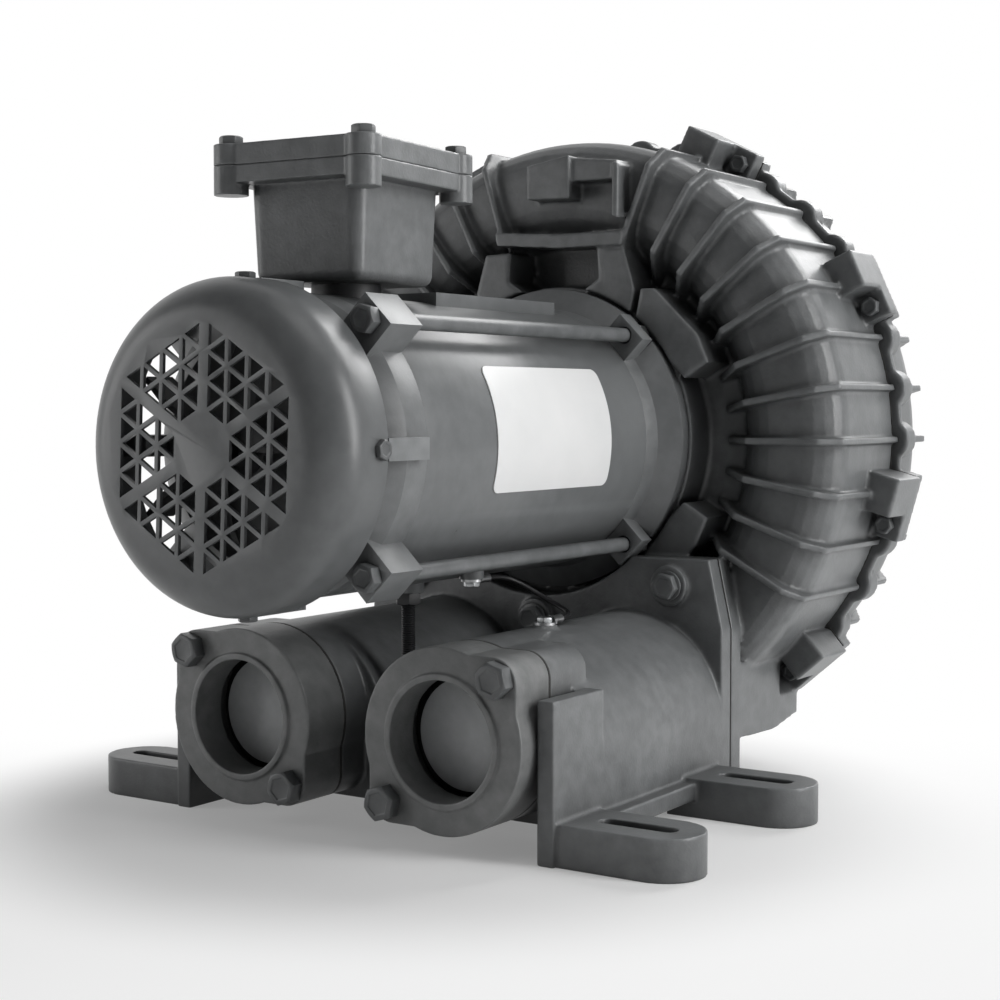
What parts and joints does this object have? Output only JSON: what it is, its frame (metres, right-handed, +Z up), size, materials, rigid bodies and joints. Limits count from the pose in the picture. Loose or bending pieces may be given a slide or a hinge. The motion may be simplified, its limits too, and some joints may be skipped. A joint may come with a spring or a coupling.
{
  "type": "side channel blower",
  "caption": "Side channel blower: fan-cooled motor, finned ring housing with impeller, and a footed base casting with a silencer behind each threaded port.",
  "frame": {"origin": "on the floor plane, at the centre of the four foot slots", "axes": "+Y along the motor axis from the cooling fan to the ring housing, +X to the right port as seen from the fan end, +Z up"},
  "size_m": [0.4107, 0.4742, 0.4084],
  "materials": {
    "casting_enamel": "satin dark grey enamel on sand-cast aluminium",
    "flange_enamel": "satin dark grey enamel on sand-cast iron",
    "frame_enamel": "satin dark grey enamel on rolled steel",
    "cover_enamel": "smooth satin dark grey enamel",
    "dark_fasteners": "painted over with the casting",
    "plated_steel": "zinc plated",
    "black_neck": "black",
    "gasket_sheet": "fibre sheet",
    "silencer_foam": "open cell foam",
    "silencer_sheet": "painted steel sheet",
    "cast_aluminium": "as cast and turned",
    "ground_steel": "ground",
    "core_steel": "laminated sheet",
    "copper_winding": "varnished copper wire",
    "seal_rubber": "moulded",
    "fan_plastic": "moulded black",
    "label_white": "blank white film",
    "block_plastic": "moulded black",
    "lead_sleeve": "black sleeved lead",
    "lug_metal": "tinned"
  },
  "bodies": {
    "machine": {"port_flange_left": "flange_enamel", "port_flange_right": "flange_enamel", "manifold": "casting_enamel", "blower_housing": "casting_enamel", "rear_cover": "casting_enamel", "fan_end_bracket": "casting_enamel", "drive_end_bracket": "casting_enamel", "terminal_box": "casting_enamel", "terminal_box_lid": "casting_enamel", "motor_shell": "frame_enamel", "fan_cover": "cover_enamel", "port_bolts": "dark_fasteners", "base_bolts": "dark_fasteners", "cover_bolts": "dark_fasteners", "through_bolts": "dark_fasteners", "through_bolt_nuts": "dark_fasteners", "lid_bolts": "dark_fasteners", "fan_cover_screws": "dark_fasteners", "motor_bolts": "dark_fasteners", "support_stud": "dark_fasteners", "stud_nuts": "dark_fasteners", "wave_washer": "plated_steel", "bonding_screws": "plated_steel", "terminal_screws": "plated_steel", "nipple_nut": "plated_steel", "box_nipple": "black_neck", "base_gasket": "gasket_sheet", "cover_gasket": "gasket_sheet", "port_gasket_left": "gasket_sheet", "port_gasket_right": "gasket_sheet", "silencer_liner_left": "silencer_foam", "silencer_liner_right": "silencer_foam", "silencer_tube_left": "silencer_sheet", "silencer_tube_right": "silencer_sheet", "drive_end_bearing_outer_race": "ground_steel", "fan_end_bearing_outer_race": "ground_steel", "stator_core": "core_steel", "windings": "copper_winding", "shaft_seal": "seal_rubber", "label_plate": "label_white", "terminal_block": "block_plastic", "bonding_lead": "lead_sleeve", "bonding_lugs": "lug_metal"},
    "rotor": {"shaft": "ground_steel", "rotor_core": "core_steel", "rotor_end_rings": "cast_aluminium", "impeller": "cast_aluminium", "impeller_key": "ground_steel", "impeller_washer": "plated_steel", "impeller_bolt": "plated_steel", "cooling_fan": "fan_plastic", "fan_clip": "plated_steel", "drive_end_bearing_inner_race": "ground_steel", "fan_end_bearing_inner_race": "ground_steel"},
    "fan_end_ball_set": {"fan_end_bearing_balls": "ground_steel"},
    "drive_end_ball_set": {"drive_end_bearing_balls": "ground_steel"}
  },
  "joints": [
    {"name": "rotor_spin", "type": "hinge", "parent": "machine", "child": "rotor", "pos_m": [0, 0, 0.211], "axis": [0, 1, 0], "continuous": true},
    {"name": "fan_end_ball_roll", "type": "hinge", "parent": "machine", "child": "fan_end_ball_set", "pos_m": [0, 0, 0.211], "axis": [0, 1, 0], "continuous": true},
    {"name": "drive_end_ball_roll", "type": "hinge", "parent": "machine", "child": "drive_end_ball_set", "pos_m": [0, 0, 0.211], "axis": [0, 1, 0], "continuous": true}
  ],
  "couplings": [
    {"joint": "fan_end_ball_roll", "follows": "rotor_spin", "ratio": 0.3807},
    {"joint": "drive_end_ball_roll", "follows": "rotor_spin", "ratio": 0.3961}
  ]
}
